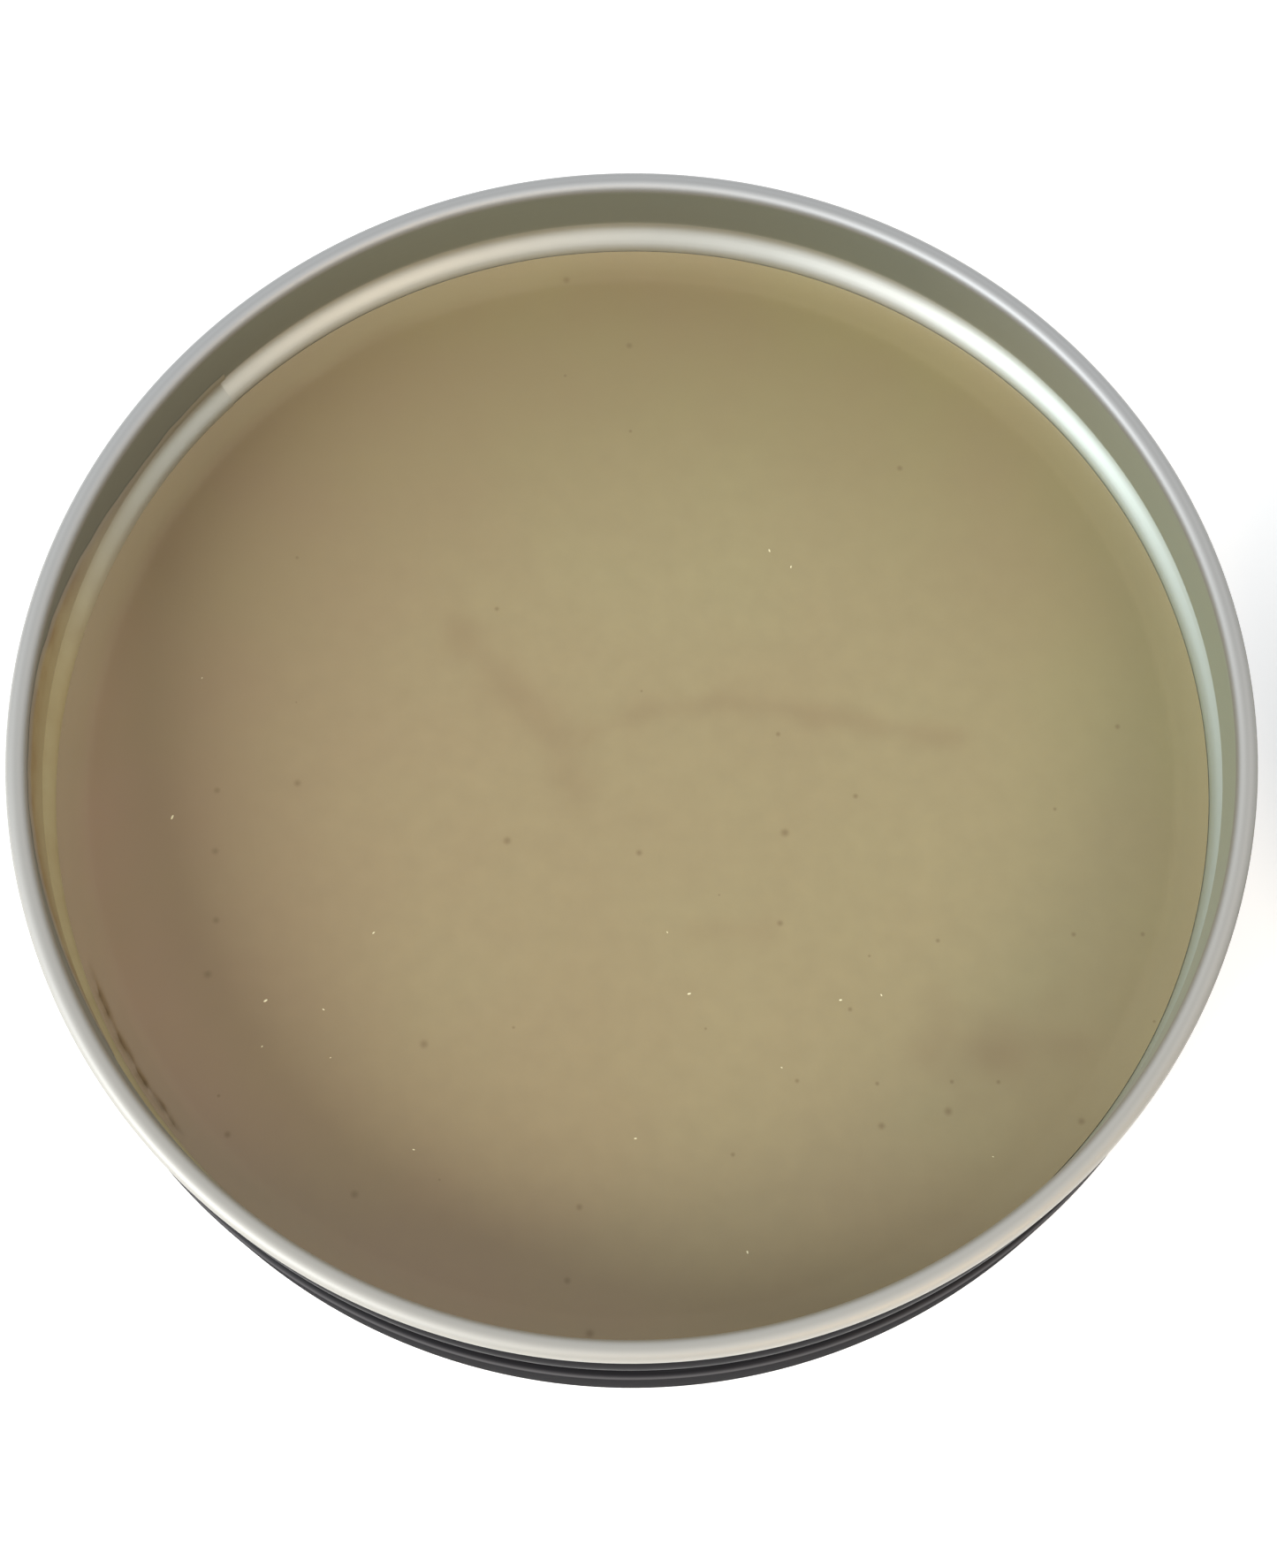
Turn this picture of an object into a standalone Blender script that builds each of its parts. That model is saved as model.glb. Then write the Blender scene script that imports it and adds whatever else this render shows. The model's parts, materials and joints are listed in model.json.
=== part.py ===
"""Shoe polish tin: a drawn tinplate base with a rolled curl, a cake of wax polish, and a press-on lid.

Metres, +Z up. The origin is the middle of the tin's underside. The lid lies open beside the tin,
upside down, and turns over onto it about an axis halfway up the closed tin.
"""

import math

import bmesh
import bpy
from mathutils import Vector

MM = 0.001

# How finely the turned shapes are cut: facets round the tin, then points along each kind of bend.
SEGMENTS = 56
CURL_STEPS = 7
BEAD_STEPS = 5
CORNER_STEPS = 4
SHOULDER_STEPS = 2
WAX_CORNER_STEPS = 2
WAX_SHOULDER_STEPS = 3
# Where the sheet bends sharply its mitre stops here, so it never grows past twice its thickness.
LEAST_MITRE = 0.5
# Faces that meet at more than this angle keep a crisp edge.
SHARP_EDGE_DEG = 35

SHEET = 0.3 * MM
CLEARANCE = 0.3 * MM

# Base: a straight body, a tight shoulder, a neck with a snap bead, and a rim rolled into a curl.
RIM_HEIGHT = 17.8 * MM
CURL_OUTER_RADIUS = 41.0 * MM
CURL_TUBE_RADIUS = 0.7 * MM
CURL_TURN_DEG = 285
NECK_INNER_RADIUS = 39.6 * MM
SNAP_BEAD_HEIGHT = 11.0 * MM
SNAP_BEAD_WIDTH = 4.4 * MM
SNAP_BEAD_RISE = 1.05 * MM
NECK_ROOT_HEIGHT = 8.7 * MM
SHOULDER_TURN_RADIUS = 0.4 * MM
# Both of the shoulder's turns stop a little short of level, so that no two points fall together.
SHOULDER_TURN_DEG = 80
NECK_ROOT_START_DEG = -100
BODY_OUTER_RADIUS = 41.3 * MM
BOTTOM_CORNER_RADIUS = 0.7 * MM
STIFFENER_RADIUS = 31.0 * MM
STIFFENER_WIDTH = 4.0 * MM
STIFFENER_RISE = 0.6 * MM

# Wax: flat on top, climbing the neck in a small meniscus.
WAX_TOP_HEIGHT = 8.2 * MM
MENISCUS_RISE = 0.6 * MM
MENISCUS_WIDTH = 2.2 * MM
MENISCUS_STEPS = 3
WAX_SHOULDER_START_DEG = -95
WAX_SHOULDER_END_DEG = -170

# Lid, measured as it sits when closed.
LID_INNER_RADIUS = 41.45 * MM
LID_EDGE_HEIGHT = 8.1 * MM
LID_RING_HEIGHT = 18.1 * MM
LID_CORNER_RADIUS = 1.1 * MM
LID_PANEL_RADIUS = 35.0 * MM
LID_PANEL_RISE = 0.5 * MM
LID_STEP_WIDTH = 1.6 * MM
LID_STEP_POINTS = 4
LID_BEAD_RISE = 0.25 * MM
LID_BEAD_WIDTH = 2.0 * MM
LID_BEAD_CENTRE = 2.2 * MM

HINGE_X = 46.0 * MM


def clear_scene():
    for obj in list(bpy.data.objects):
        bpy.data.objects.remove(obj, do_unlink=True)


def plain_material(name, colour, roughness, metallic):
    material = bpy.data.materials.new(name)
    material.use_nodes = True
    shader = material.node_tree.nodes["Principled BSDF"]
    shader.inputs["Base Color"].default_value = (*colour, 1.0)
    shader.inputs["Roughness"].default_value = roughness
    shader.inputs["Metallic"].default_value = metallic
    return material


def bare_tinplate():
    return plain_material("bare_tinplate", (0.52, 0.52, 0.49), 0.35, 1.0)


def black_lacquer():
    return plain_material("black_lacquer", (0.02, 0.02, 0.02), 0.3, 0.0)


def wax_polish():
    return plain_material("wax_polish", (0.31, 0.25, 0.14), 0.45, 0.0)


def arc(centre, radius, start_deg, end_deg, steps):
    """Points (r, z) on an arc, its two ends included."""
    points = []
    for i in range(steps + 1):
        angle = math.radians(start_deg + (end_deg - start_deg) * i / steps)
        points.append((centre[0] + radius * math.cos(angle), centre[1] + radius * math.sin(angle)))
    return points


def swell(centre, width, rise, steps):
    """(position, height) pairs across a raised-cosine bead, its two flat ends included."""
    pairs = []
    for i in range(steps + 1):
        share = i / steps
        pairs.append((centre + width * (share - 0.5), rise * 0.5 * (1 - math.cos(2 * math.pi * share))))
    return pairs


def sheet_outline(path, thickness):
    """Closed outline of a sheet that follows an open path from the axis outwards."""
    count = len(path)
    left = []
    right = []
    for i in range(count):
        before = Vector(path[max(i - 1, 0)])
        here = Vector(path[i])
        after = Vector(path[min(i + 1, count - 1)])
        ahead = (after - here).normalized() if i < count - 1 else (here - before).normalized()
        behind = (here - before).normalized() if i else ahead
        normal = Vector((-(ahead + behind).y, (ahead + behind).x)).normalized()
        stretch = 1 / max(normal.dot(Vector((-ahead.y, ahead.x))), LEAST_MITRE)
        if path[i][0] == 0:
            normal = Vector((0, 1))
            stretch = 1
        offset = normal * thickness / 2 * stretch
        left.append(tuple(here + offset))
        right.append(tuple(here - offset))
    return right + left[::-1]


def turned(name, outline, material):
    """Solid of revolution about Z from a closed (r, z) outline that starts and ends on the axis."""
    mesh = bpy.data.meshes.new(name)
    shape = bmesh.new()
    rings = []
    for radius, height in outline:
        if radius == 0:
            rings.append([shape.verts.new((0, 0, height))])
            continue
        ring = []
        for i in range(SEGMENTS):
            angle = 2 * math.pi * i / SEGMENTS
            ring.append(shape.verts.new((radius * math.cos(angle), radius * math.sin(angle), height)))
        rings.append(ring)
    for lower, upper in zip(rings, rings[1:]):
        for i in range(SEGMENTS):
            j = (i + 1) % SEGMENTS
            if len(lower) == 1:
                shape.faces.new((lower[0], upper[j], upper[i]))
            elif len(upper) == 1:
                shape.faces.new((lower[i], lower[j], upper[0]))
            else:
                shape.faces.new((lower[i], lower[j], upper[j], upper[i]))
    bmesh.ops.recalc_face_normals(shape, faces=shape.faces)
    shape.to_mesh(mesh)
    shape.free()
    mesh.shade_smooth()
    mesh.set_sharp_from_angle(angle=math.radians(SHARP_EDGE_DEG))
    mesh.materials.append(material)
    obj = bpy.data.objects.new(name, mesh)
    bpy.context.scene.collection.objects.link(obj)
    return obj


def neck_root_radius():
    """Bend radius, at the middle of the sheet, where the shoulder turns up into the neck."""
    return BODY_OUTER_RADIUS - SHEET - NECK_INNER_RADIUS - SHOULDER_TURN_RADIUS


def shoulder_centre_radius():
    """Distance from the axis to the centres that both of the shoulder's turns share."""
    return BODY_OUTER_RADIUS - SHEET / 2 - SHOULDER_TURN_RADIUS


def shoulder_height():
    """Height of the middle of the sheet where the shoulder is level."""
    return NECK_ROOT_HEIGHT - neck_root_radius()


def base_path():
    """The middle of the base's sheet, from the centre of the bottom to the end of the curl."""
    half = SHEET / 2
    body = BODY_OUTER_RADIUS - half
    neck = NECK_INNER_RADIUS + half
    corner = BOTTOM_CORNER_RADIUS - half
    path = [(0, half)]
    for radius, rise in swell(STIFFENER_RADIUS, STIFFENER_WIDTH, STIFFENER_RISE, CORNER_STEPS):
        path.append((radius, half + rise))
    path += arc((body - corner, half + corner), corner, -90, 0, CORNER_STEPS)
    # The shoulder turns in, then up into the neck, about two centres one above the other.
    turn = SHOULDER_TURN_RADIUS
    centre = shoulder_centre_radius()
    path += arc((centre, shoulder_height() - turn), turn, 0, SHOULDER_TURN_DEG, SHOULDER_STEPS)
    path += arc((centre, NECK_ROOT_HEIGHT), neck_root_radius(), NECK_ROOT_START_DEG, -180, SHOULDER_STEPS)
    for height, rise in swell(SNAP_BEAD_HEIGHT, SNAP_BEAD_WIDTH, SNAP_BEAD_RISE, BEAD_STEPS):
        path.append((neck + rise, height))
    tube = CURL_TUBE_RADIUS - half
    curl_centre = (CURL_OUTER_RADIUS - CURL_TUBE_RADIUS, RIM_HEIGHT - CURL_TUBE_RADIUS)
    path += arc(curl_centre, tube, 180, 180 - CURL_TURN_DEG, CURL_STEPS)
    return path


def make_base():
    return turned("base_can", sheet_outline(base_path(), SHEET), bare_tinplate())


def make_wax():
    """The wax fills the base up to its meniscus, a clearance off the metal."""
    floor = SHEET + CLEARANCE
    side = BODY_OUTER_RADIUS - SHEET - CLEARANCE
    edge = NECK_INNER_RADIUS - CLEARANCE
    corner = BOTTOM_CORNER_RADIUS - SHEET - CLEARANCE
    inset = SHEET / 2 + CLEARANCE
    outline = [(0, floor)]
    for radius, rise in swell(STIFFENER_RADIUS, STIFFENER_WIDTH, STIFFENER_RISE, CORNER_STEPS):
        outline.append((radius, floor + rise))
    outline += arc((side - corner, floor + corner), corner, -90, 0, WAX_CORNER_STEPS)
    outline.append((side, shoulder_height() - inset))
    outline += arc(
        (shoulder_centre_radius(), NECK_ROOT_HEIGHT), neck_root_radius() + inset,
        WAX_SHOULDER_START_DEG, WAX_SHOULDER_END_DEG, WAX_SHOULDER_STEPS,
    )
    lip = WAX_TOP_HEIGHT + MENISCUS_RISE
    outline.append((edge, lip))
    for i in range(1, MENISCUS_STEPS + 1):
        share = i / MENISCUS_STEPS
        outline.append((edge - MENISCUS_WIDTH * share, lip - MENISCUS_RISE * math.sin(share * math.pi / 2)))
    outline.append((0, WAX_TOP_HEIGHT))
    return turned("polish", outline, wax_polish())


def closed_height():
    return LID_RING_HEIGHT + LID_PANEL_RISE + SHEET


def lid_path():
    """The middle of the lid's sheet as it sits closed, from its centre to its open edge."""
    half = SHEET / 2
    wall = LID_INNER_RADIUS + half
    top = LID_RING_HEIGHT + half
    path = [(0, top + LID_PANEL_RISE)]
    for i in range(LID_STEP_POINTS):
        share = i / (LID_STEP_POINTS - 1)
        drop = LID_PANEL_RISE * 0.5 * (1 - math.cos(math.pi * share))
        path.append((LID_PANEL_RADIUS + LID_STEP_WIDTH * share, top + LID_PANEL_RISE - drop))
    path += arc((wall - LID_CORNER_RADIUS, top - LID_CORNER_RADIUS), LID_CORNER_RADIUS, 90, 0, CORNER_STEPS)
    bead = swell(LID_EDGE_HEIGHT + LID_BEAD_CENTRE, LID_BEAD_WIDTH, LID_BEAD_RISE, CORNER_STEPS)
    for height, rise in reversed(bead):
        path.append((wall + rise, height))
    path.append((wall, LID_EDGE_HEIGHT))
    return path


def make_lid():
    """The lid, turned over about the hinge axis to lie upside down beside the tin."""
    hinge = bpy.data.objects.new("lid_hinge", None)
    hinge.location = (HINGE_X, 0, closed_height() / 2)
    bpy.context.scene.collection.objects.link(hinge)
    lid = turned("lid_shell", sheet_outline(lid_path(), SHEET), black_lacquer())
    # The mesh is built closed, so its place is set back by the axis before the axis turns it over.
    lid.parent = hinge
    lid.location = (-HINGE_X, 0, -closed_height() / 2)
    hinge.rotation_euler = (0, math.pi, 0)
    return lid


def build():
    clear_scene()
    make_base()
    make_wax()
    make_lid()


build()
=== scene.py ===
import bmesh
import bpy
import json
import math
from mathutils import Matrix, Vector, noise


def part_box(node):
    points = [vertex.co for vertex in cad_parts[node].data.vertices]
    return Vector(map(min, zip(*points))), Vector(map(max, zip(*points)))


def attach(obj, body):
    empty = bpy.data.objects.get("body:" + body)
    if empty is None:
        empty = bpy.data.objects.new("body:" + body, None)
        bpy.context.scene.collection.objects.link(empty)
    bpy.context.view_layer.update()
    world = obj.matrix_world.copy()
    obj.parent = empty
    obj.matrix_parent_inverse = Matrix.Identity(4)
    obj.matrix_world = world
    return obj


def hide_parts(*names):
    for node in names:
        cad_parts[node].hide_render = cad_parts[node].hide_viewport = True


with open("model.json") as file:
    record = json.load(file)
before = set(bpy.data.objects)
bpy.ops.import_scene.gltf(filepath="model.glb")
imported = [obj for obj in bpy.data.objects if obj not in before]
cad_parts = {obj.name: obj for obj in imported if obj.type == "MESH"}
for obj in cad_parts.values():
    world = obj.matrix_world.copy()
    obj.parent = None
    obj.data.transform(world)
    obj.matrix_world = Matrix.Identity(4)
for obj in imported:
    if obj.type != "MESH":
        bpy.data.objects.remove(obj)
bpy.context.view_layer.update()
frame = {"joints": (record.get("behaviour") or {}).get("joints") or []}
print("frame loaded")

mm = 0.001
hinge = frame["joints"][0]
closedHeight = 2 * hinge["pos_m"][2]
lidCentreX = 2 * hinge["pos_m"][0]
sharpDeg = 40  # edges that turn more than this are left sharp


# helpers for shapes

def arc(centre, radius, startDeg, endDeg, steps):
    points = []
    for i in range(steps + 1):
        angle = math.radians(startDeg + (endDeg - startDeg) * i / steps)
        points.append((centre[0] + radius * math.cos(angle), centre[1] + radius * math.sin(angle)))
    return points


def swell(centre, width, rise, steps):
    # (place, height) across a soft round bead, both flat ends included
    pairs = []
    for i in range(steps + 1):
        share = i / steps
        pairs.append((centre + width * (share - 0.5), rise * 0.5 * (1 - math.cos(2 * math.pi * share))))
    return pairs


def smooth(value, low, high):
    share = min(max((value - low) / (high - low), 0.0), 1.0)
    return share * share * (3 - 2 * share)


def sheetLoop(path, thickness):
    # the two faces of a sheet that follows a path, as one open chain from axis to axis,
    # with a 1 on the points of the face that lies to the left of the path
    left = []
    right = []
    last = len(path) - 1
    for i, point in enumerate(path):
        here = Vector(point)
        ahead = (Vector(path[min(i + 1, last)]) - here).normalized()
        behind = (here - Vector(path[max(i - 1, 0)])).normalized()
        along = ahead + behind
        normal = Vector((-along.y, along.x)).normalized()
        if point[0] == 0:
            normal = Vector((0.0, 1.0))
        left.append(here + normal * thickness / 2)
        right.append(here - normal * thickness / 2)
    return [(p, 0.0) for p in right] + [(p, 1.0) for p in reversed(left)]


def linked(name, mesh):
    obj = bpy.data.objects.new(name, mesh)
    bpy.context.scene.collection.objects.link(obj)
    return obj


def outward(mesh):
    # a closed shell's faces point out, smooth, with its trimmed edges left sharp
    shell = bmesh.new()
    shell.from_mesh(mesh)
    bmesh.ops.recalc_face_normals(shell, faces=shell.faces)
    shell.to_mesh(mesh)
    shell.free()
    mesh.shade_smooth()
    mesh.set_sharp_from_angle(angle=math.radians(sharpDeg))


def finished(name, shell, material):
    # a bmesh becomes a linked piece with one material
    mesh = bpy.data.meshes.new(name)
    shell.to_mesh(mesh)
    shell.free()
    outward(mesh)
    mesh.materials.append(material)
    return linked(name, mesh)


# helpers for nodes

def hexToLinear(code):
    channels = [int(code[i:i + 2], 16) / 255 for i in (1, 3, 5)]
    linear = [c / 12.92 if c <= 0.04045 else ((c + 0.055) / 1.055) ** 2.4 for c in channels]
    return (*linear, 1.0)


def addNode(tree, kind, inputs=None, **settings):
    # inputs: socket name or number to a value, or to the output that feeds it
    node = tree.nodes.new(kind)
    for key, value in settings.items():
        setattr(node, key, value)
    for key, value in (inputs or {}).items():
        if isinstance(value, bpy.types.NodeSocket):
            tree.links.new(value, node.inputs[key])
        else:
            node.inputs[key].default_value = value
    return node


def newMaterial(name, metallic, roughness):
    material = bpy.data.materials.new(name)
    material.use_nodes = True
    shader = material.node_tree.nodes["Principled BSDF"]
    shader.inputs["Metallic"].default_value = metallic
    shader.inputs["Roughness"].default_value = roughness
    return material, material.node_tree, shader


def bake(obj):
    # the modifiers' result becomes the object's own plain mesh
    graph = bpy.context.evaluated_depsgraph_get()
    mesh = bpy.data.meshes.new_from_object(obj.evaluated_get(graph))
    mesh.name = obj.name
    obj.modifiers.clear()
    obj.data = mesh
    return obj


def newTree(name, sizes):
    # a geometry tree with named sizes: name to (socket kind, value)
    tree = bpy.data.node_groups.new(name, "GeometryNodeTree")
    tree.interface.new_socket("Geometry", in_out="INPUT", socket_type="NodeSocketGeometry")
    for label, (kind, value) in sizes.items():
        socket = tree.interface.new_socket(label, in_out="INPUT", socket_type=kind)
        if value is not None:
            socket.default_value = value
    tree.interface.new_socket("Geometry", in_out="OUTPUT", socket_type="NodeSocketGeometry")
    return tree


def useTree(obj, tree, values):
    # each size is set by its socket's identifier, before the object is first evaluated
    modifier = obj.modifiers.new(tree.name, "NODES")
    modifier.node_group = tree
    for item in tree.interface.items_tree:
        if item.name in values:
            modifier[item.identifier] = values[item.name]
    return bake(obj)


# materials

def turnedCoordinates(tree, centreX):
    # how far round, how far out and how high a point is on a piece that was spun on a lathe
    place = addNode(tree, "ShaderNodeTexCoord").outputs["Object"]
    centred = addNode(tree, "ShaderNodeMapping", {"Vector": place, "Location": (-centreX, 0, 0)}).outputs[0]
    height = addNode(tree, "ShaderNodeSeparateXYZ", {0: centred}).outputs["Z"]
    flat = addNode(tree, "ShaderNodeVectorMath", {0: centred, 1: (1, 1, 0)}, operation="MULTIPLY")
    radius = addNode(tree, "ShaderNodeVectorMath", {0: flat.outputs[0]}, operation="LENGTH")
    heading = addNode(tree, "ShaderNodeVectorMath", {0: flat.outputs[0]}, operation="NORMALIZE")
    return heading.outputs[0], radius.outputs["Value"], height, centred


def drawLines(tree, centreX, spacing, roundRepeats):
    # fine lines that run round the piece, one every spacing, each a good part of a turn long
    heading, radius, height, _ = turnedCoordinates(tree, centreX)
    lengthwise = addNode(tree, "ShaderNodeVectorMath", {0: heading, 3: roundRepeats}, operation="SCALE")
    across = addNode(tree, "ShaderNodeMath", {0: radius, 1: 1 / spacing}, operation="MULTIPLY")
    upright = addNode(tree, "ShaderNodeMath", {0: height, 1: 1 / spacing}, operation="MULTIPLY")
    turns = addNode(tree, "ShaderNodeCombineXYZ", {"Z": across.outputs[0]})
    vector = addNode(
        tree, "ShaderNodeVectorMath",
        {0: lengthwise.outputs[0], 1: turns.outputs[0]},
        operation="ADD",
    )
    lines = addNode(
        tree, "ShaderNodeTexNoise",
        {"Vector": vector.outputs[0], "W": upright.outputs[0], "Scale": 1.0, "Detail": 3.0, "Roughness": 0.6},
        noise_dimensions="4D",
    )
    return lines.outputs["Fac"]


tinplateLook = {
    "light": "#d8d8d2",
    "dark": "#c2c2bb",
    "cloudScale": 90.0,  # clouds about 11 mm across
    # painted reflection: a cool greenish tint on the metal towards +X
    "coolReflection": "#d2dcd5",
    "coolReflectionFrom": 18 * mm,
    "coolReflectionTo": 38 * mm,
    # painted shade: a darker grey on the straight wall above the bead
    "wallShade": "#a9b0ac",
    "wallShadeFrom": 12.2 * mm,
    "wallShadeFade": 1.2 * mm,
    "shadeThinFrom": 20 * mm,
    "shadeThinTo": 40 * mm,
    "curlFrom": 16.9 * mm,
    "curlFade": 0.4 * mm,
    # painted reflection: the curl's warmer tone at the near side, against farCurl
    "curl": "#b8b5ae",
    "farCurl": "#b6b6b5",
    "sideReach": 25 * mm,
    "curlInner": 39.7 * mm,
    "curlOuter": 41.0 * mm,
    # painted shading across the curl, lighter inner or outer half by side
    "curlSideShade": (-0.08, 0.07),  # how much paler outwards, at the near side and at the far side
    # painted highlight: fine paler rings on the curl
    "glintRingSpacing": 0.5 * mm,
    "glintRingFirst": 39.95 * mm,
    "glintRingDepth": 0.035,
    "curlRoughness": 0.6,
    "roughness": (0.44, 0.54),
    "lineSpacing": 0.22 * mm,  # real draw lines are nearer 0.05 mm, drawn coarser so that they show
    "lineRepeats": 2.5,
    "bump": 0.06,
    "bumpDepth": 0.02 * mm,
}


def rolledCurl(tree, radius, sideways):
    # painted highlight and shade: fine paler rings, a paler inner half at the near side, a paler outer half
    # at the far side, and a warmer tone at the near side
    look = tinplateLook
    fromFirst = addNode(tree, "ShaderNodeMath", {0: radius, 1: look["glintRingFirst"]}, operation="SUBTRACT")
    phase = addNode(
        tree, "ShaderNodeMath",
        {0: fromFirst.outputs[0], 1: 2 * math.pi / look["glintRingSpacing"]},
        operation="MULTIPLY",
    )
    wave = addNode(tree, "ShaderNodeMath", {0: phase.outputs[0]}, operation="COSINE")
    outwards = addNode(
        tree, "ShaderNodeMapRange",
        {"Value": radius, "From Min": look["curlInner"], "From Max": look["curlOuter"],
         "To Min": -1.0, "To Max": 1.0},
    )
    farSide = addNode(
        tree, "ShaderNodeMapRange",
        {"Value": sideways, "From Min": -look["sideReach"], "From Max": look["sideReach"]},
    )
    nearShade, farShade = look["curlSideShade"]
    tilt = addNode(
        tree, "ShaderNodeMapRange",
        {"Value": farSide.outputs[0], "To Min": nearShade, "To Max": farShade},
    )
    shadedAcross = addNode(
        tree, "ShaderNodeMath",
        {0: outwards.outputs[0], 1: tilt.outputs[0], 2: 1.0},
        operation="MULTIPLY_ADD",
    )
    glintRinged = addNode(
        tree, "ShaderNodeMath",
        {0: wave.outputs[0], 1: look["glintRingDepth"], 2: shadedAcross.outputs[0]},
        operation="MULTIPLY_ADD",
    )
    # painted reflection: a warmer curl tone at the near side
    bareCurl = addNode(
        tree, "ShaderNodeMix",
        {0: farSide.outputs[0], 6: hexToLinear(look["curl"]), 7: hexToLinear(look["farCurl"])},
        data_type="RGBA",
    )
    rolled = addNode(
        tree, "ShaderNodeMix",
        {0: 1.0, 6: bareCurl.outputs[2], 7: glintRinged.outputs[0]},
        data_type="RGBA", blend_type="MULTIPLY",
    )
    return rolled.outputs[2]


def drawnTinplate(name, centreX):
    # electrolytic tinplate, cold drawn over a punch: a soft bright grey with faint lines round it
    look = tinplateLook
    material, tree, shader = newMaterial(name, 1.0, look["roughness"][0])
    lines = drawLines(tree, centreX, look["lineSpacing"], look["lineRepeats"])
    _, radius, height, centred = turnedCoordinates(tree, centreX)
    split = addNode(tree, "ShaderNodeSeparateXYZ", {0: centred})
    place = addNode(tree, "ShaderNodeTexCoord").outputs["Object"]
    cloud = addNode(
        tree, "ShaderNodeTexNoise",
        {"Vector": place, "Scale": look["cloudScale"], "Detail": 4.0},
    )
    # painted reflection: a cool greenish tint laid on the metal towards +X, standing in for cool light
    # reflected on that side
    coolerSide = addNode(
        tree, "ShaderNodeMapRange",
        {"Value": split.outputs["X"], "From Min": look["coolReflectionFrom"], "From Max": look["coolReflectionTo"]},
        interpolation_type="SMOOTHSTEP",
    )
    # painted shade: the straight wall above the bead is greyed darker, least on that same side
    above = addNode(
        tree, "ShaderNodeMapRange",
        {"Value": height, "From Min": look["wallShadeFrom"], "From Max": look["wallShadeFrom"] + look["wallShadeFade"]},
        interpolation_type="SMOOTHSTEP",
    )
    lessShaded = addNode(
        tree, "ShaderNodeMapRange",
        {"Value": split.outputs["X"], "From Min": look["shadeThinFrom"], "From Max": look["shadeThinTo"],
         "To Min": 1.0, "To Max": 0.0},
    )
    wallShadeShare = addNode(tree, "ShaderNodeMath", {0: above.outputs[0], 1: lessShaded.outputs[0]}, operation="MULTIPLY")
    # the rolled rim is scuffed by the seaming rollers: darker and flatter, and carries rolledCurl's painted
    # highlight rings and painted shading
    onCurl = addNode(
        tree, "ShaderNodeMapRange",
        {"Value": height, "From Min": look["curlFrom"], "From Max": look["curlFrom"] + look["curlFade"]},
        interpolation_type="SMOOTHSTEP",
    )
    tone = hexToLinear(look["dark"])
    for share, over in (
        (cloud.outputs["Fac"], hexToLinear(look["light"])),
        (coolerSide.outputs[0], hexToLinear(look["coolReflection"])),
        (wallShadeShare.outputs[0], hexToLinear(look["wallShade"])),
        (onCurl.outputs[0], rolledCurl(tree, radius, split.outputs["Y"])),
    ):
        tone = addNode(tree, "ShaderNodeMix", {0: share, 6: tone, 7: over}, data_type="RGBA").outputs[2]
    low, high = look["roughness"]
    smoother = addNode(tree, "ShaderNodeMapRange", {"Value": lines, "To Min": low, "To Max": high})
    rough = addNode(
        tree, "ShaderNodeMix",
        {0: onCurl.outputs[0], 2: smoother.outputs[0], 3: look["curlRoughness"]},
    )
    bump = addNode(
        tree, "ShaderNodeBump",
        {"Strength": look["bump"], "Distance": look["bumpDepth"], "Height": lines},
    )
    tree.links.new(tone, shader.inputs["Base Color"])
    tree.links.new(rough.outputs[0], shader.inputs["Roughness"])
    tree.links.new(bump.outputs[0], shader.inputs["Normal"])
    return material


lacquerLook = {
    "black": "#1d1c1e",
    "worn": "#2b2a2c",
    "wornFrom": 0.62,
    "wornTo": 0.8,
    "roughness": (0.32, 0.44),
    "edgeHighlight": "#615f60",
    "edgeStrength": 0.6,
    "edgeWidth": 0.22 * mm,
    "dullRoughness": 0.95,
    "dullFade": 0.1 * mm,
    "peelSize": 0.9 * mm,
    "bump": 0.08,
    "bumpDepth": 0.05 * mm,
}


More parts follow.
